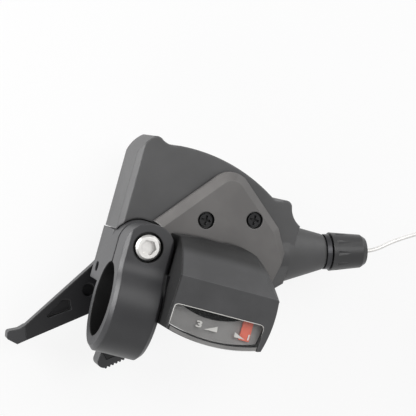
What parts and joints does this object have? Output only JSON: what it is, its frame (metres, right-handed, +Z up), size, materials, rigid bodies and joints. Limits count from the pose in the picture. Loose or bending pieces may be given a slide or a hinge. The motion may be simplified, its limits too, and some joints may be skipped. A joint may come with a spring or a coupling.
{
  "type": "thumb shifter",
  "caption": "Left-hand bicycle thumb shifter: hinged bar clamp, rounded housing, arched display pod with dial window, push and release levers, and a barrel adjuster with a bare shift cable.",
  "frame": {"origin": "centre of the handlebar clamp's bore, at the middle of the band's width", "axes": "+X along the handlebar towards the cable, +Y forwards away from the rider, +Z up out of the display window, parallel to the main axle of the levers"},
  "size_m": [0.1907, 0.0727, 0.0628],
  "materials": {
    "clamp_alloy": "satin black anodised alloy",
    "bolt_steel": "bright stainless",
    "housing_plastic": "finely textured black",
    "cover_plastic": "finely textured dark grey",
    "screw_steel": "black oxide",
    "plate_steel": "zinc plated",
    "washer_nylon": "natural nylon",
    "spool_plastic": "smooth",
    "hardened_steel": "hardened",
    "spring_steel": "spring wire and strip",
    "lever_metal": "satin black anodised alloy",
    "pad_plastic": "satin black",
    "pod_plastic": "satin dark grey",
    "lens_clear": "clear polycarbonate",
    "dial_grey": "printed dial",
    "flag_plastic": "salmon red",
    "knob_plastic": "satin black",
    "collar_alloy": "turned",
    "insert_brass": "threaded insert",
    "cable_steel": "stranded steel",
    "head_alloy": "cast head",
    "tie_plastic": "hook and loop tie"
  },
  "bodies": {
    "shifter_body": {"adjuster_collar": "collar_alloy", "adjuster_insert": "insert_brass", "axle_cap": "plate_steel", "axle_nut": "plate_steel", "axle_spacer": "plate_steel", "base_housing": "housing_plastic", "bracket_screws": "screw_steel", "cable_coil": "cable_steel", "cable_tube": "cable_steel", "chassis_plate": "plate_steel", "chassis_screws": "screw_steel", "clamp_band": "clamp_alloy", "clamp_bolt": "bolt_steel", "clamp_nut": "bolt_steel", "coil_tie": "tie_plastic", "cover_screws": "screw_steel", "dial_plate": "dial_grey", "display_base": "pod_plastic", "display_housing": "pod_plastic", "display_lens": "lens_clear", "display_screws": "screw_steel", "holding_pin": "hardened_steel", "holding_spring": "spring_steel", "indicator_rail": "spring_steel", "main_axle": "plate_steel", "release_spring": "spring_steel", "shift_cable": "cable_steel", "spacer_washer": "plate_steel", "spool_spring": "spring_steel", "thrust_washer": "washer_nylon", "thumb_spring": "spring_steel", "upper_cover": "cover_plastic"},
    "cable_spool": {"cable_spool": "spool_plastic", "ratchet_plate": "hardened_steel", "cable_head": "head_alloy", "cable_wrap": "cable_steel"},
    "indicator": {"indicator_flag": "flag_plastic"},
    "thumb_lever": {"thumb_lever": "lever_metal", "thumb_pad": "pad_plastic", "thumb_bushing": "washer_nylon", "drive_pin": "hardened_steel", "drive_spring": "spring_steel"},
    "drive_pawl": {"drive_pawl": "hardened_steel"},
    "release_lever": {"release_lever": "lever_metal", "release_pad": "pad_plastic", "release_bushing": "washer_nylon", "release_pin": "hardened_steel"},
    "holding_pawl": {"holding_pawl": "hardened_steel"},
    "adjuster_slide": {"adjuster_ferrule": "collar_alloy"},
    "adjuster_knob": {"barrel_adjuster": "knob_plastic"}
  },
  "joints": [
    {"name": "spool_turn", "type": "hinge", "parent": "shifter_body", "child": "cable_spool", "pos_m": [0.0165, 0.0298, -0.013], "axis": [0, 0, -1], "range_deg": [0, 70], "stiffness_Nm_per_rad": 0.05, "springref_deg": -34.38},
    {"name": "indicator_slide", "type": "slide", "parent": "shifter_body", "child": "indicator", "axis": [-1, 0, 0], "range_m": [0, 0.013]},
    {"name": "thumb_lever_turn", "type": "hinge", "parent": "shifter_body", "child": "thumb_lever", "pos_m": [0.0165, 0.0298, -0.0316], "axis": [0, 0, -1], "range_deg": [0, 38], "stiffness_Nm_per_rad": 0.06, "springref_deg": -28.65},
    {"name": "drive_pawl_turn", "type": "hinge", "parent": "thumb_lever", "child": "drive_pawl", "pos_m": [0.03099, 0.02592, -0.0208], "axis": [0, 0, 1], "range_deg": [0, 8], "stiffness_Nm_per_rad": 0.002, "springref_deg": -17.19},
    {"name": "release_lever_turn", "type": "hinge", "parent": "shifter_body", "child": "release_lever", "pos_m": [0.0165, 0.0298, -0.0273], "axis": [0, 0, -1], "range_deg": [0, 11], "stiffness_Nm_per_rad": 0.06, "springref_deg": -28.65},
    {"name": "holding_pawl_turn", "type": "hinge", "parent": "shifter_body", "child": "holding_pawl", "pos_m": [0.00091, 0.0388, -0.0208], "axis": [0, 0, -1], "range_deg": [0, 5.5]},
    {"name": "adjuster_travel", "type": "slide", "parent": "shifter_body", "child": "adjuster_slide", "axis": [0.9636, 0.2672, 0], "range_m": [0, 0.0025]},
    {"name": "adjuster_turn", "type": "hinge", "parent": "adjuster_slide", "child": "adjuster_knob", "pos_m": [0.0628, 0.03123, -0.013], "axis": [-0.9636, -0.2672, 0], "range_deg": [0, 1080]}
  ],
  "couplings": [
    {"joint": "indicator_slide", "follows": "spool_turn", "m_per_rad": 0.01064},
    {"joint": "holding_pawl_turn", "follows": "release_lever_turn", "ratio": 0.5},
    {"joint": "adjuster_travel", "follows": "adjuster_turn", "m_per_rad": 0.00012732}
  ]
}
